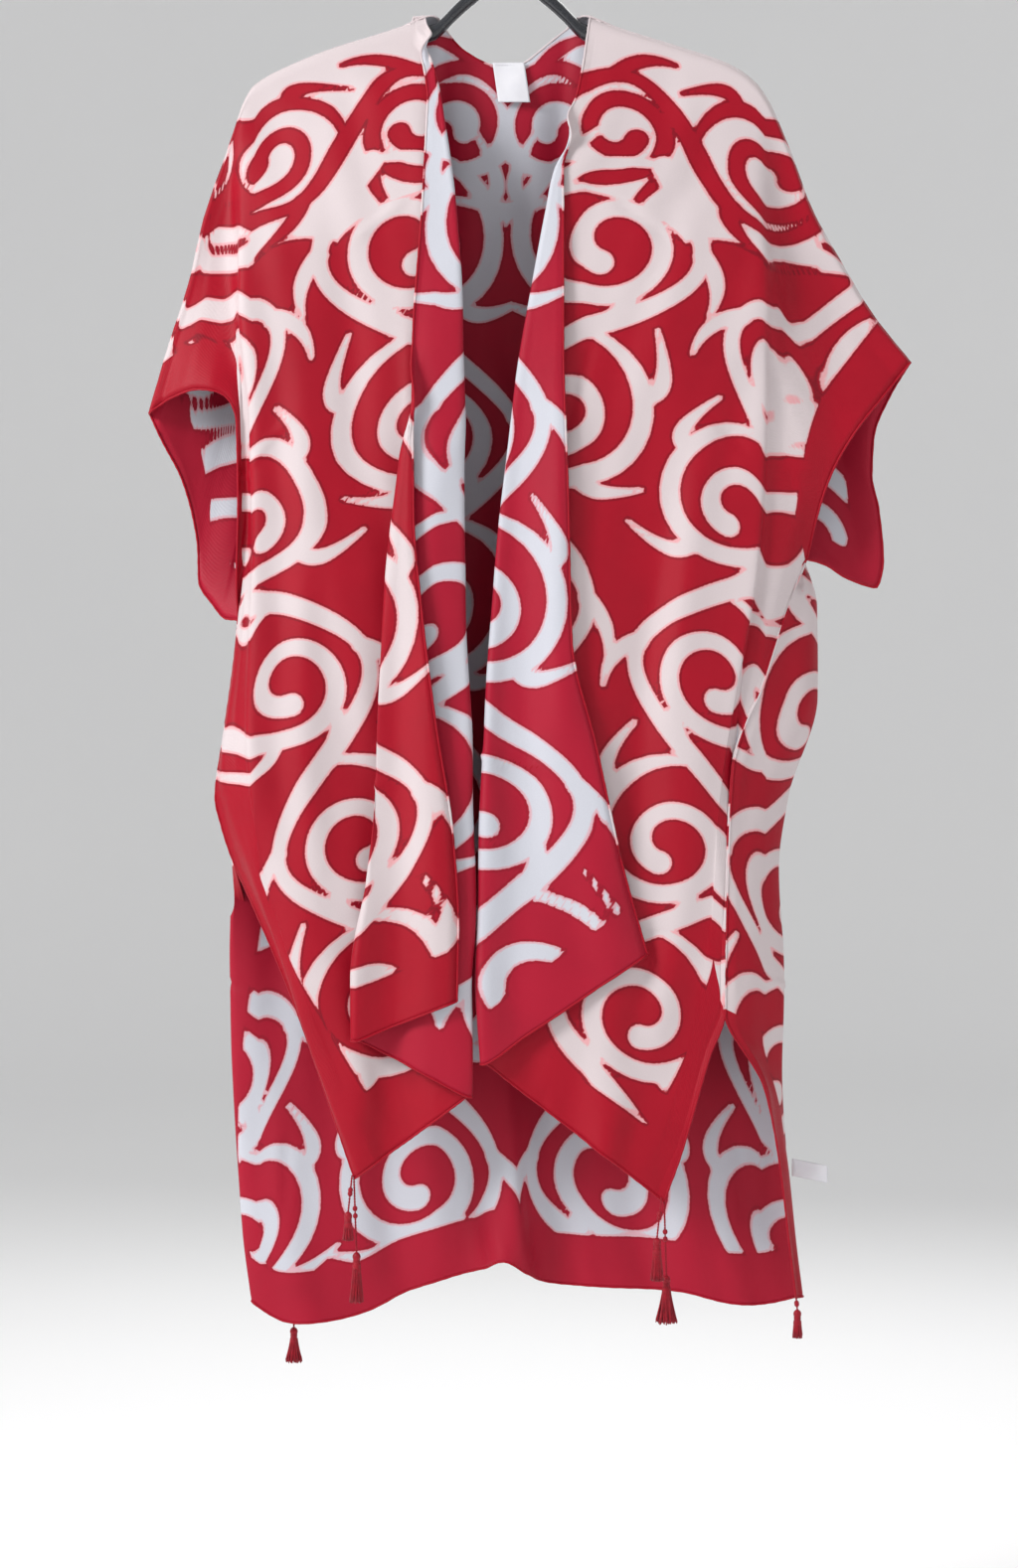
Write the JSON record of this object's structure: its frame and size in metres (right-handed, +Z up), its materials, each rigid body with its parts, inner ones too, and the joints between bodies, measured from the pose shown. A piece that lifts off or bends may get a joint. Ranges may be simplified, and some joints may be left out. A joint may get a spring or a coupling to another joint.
{
  "type": "beach kimono on a clothes hanger",
  "caption": "Open-front beach kimono of thin printed cloth with batwing sleeves, side slits and tassels at its hem corners, hung on a plastic clothes hanger.",
  "frame": {"origin": "inside top of the hanger's hook, where it rests on a rail", "axes": "+Z up, the kimono's front faces -Y, +X to the right as seen from the front"},
  "size_m": [0.6444, 0.1264, 1.2611],
  "materials": {
    "printed_cloth": "thin silky woven cloth, red ground with white scrolls",
    "label_cloth": "blank white satin label",
    "tassel_yarn": "red rayon yarn",
    "hanger_plastic": "glossy black moulded plastic"
  },
  "bodies": {
    "root": {"hanger": "hanger_plastic", "back": "printed_cloth", "front_left": "printed_cloth", "front_right": "printed_cloth", "neck_label": "label_cloth", "care_label": "label_cloth", "tassel_front_left_upper": "tassel_yarn", "tassel_front_left_lower": "tassel_yarn", "tassel_front_right_upper": "tassel_yarn", "tassel_front_right_lower": "tassel_yarn", "tassel_back_left": "tassel_yarn", "tassel_back_right": "tassel_yarn"}
  },
  "joints": []
}
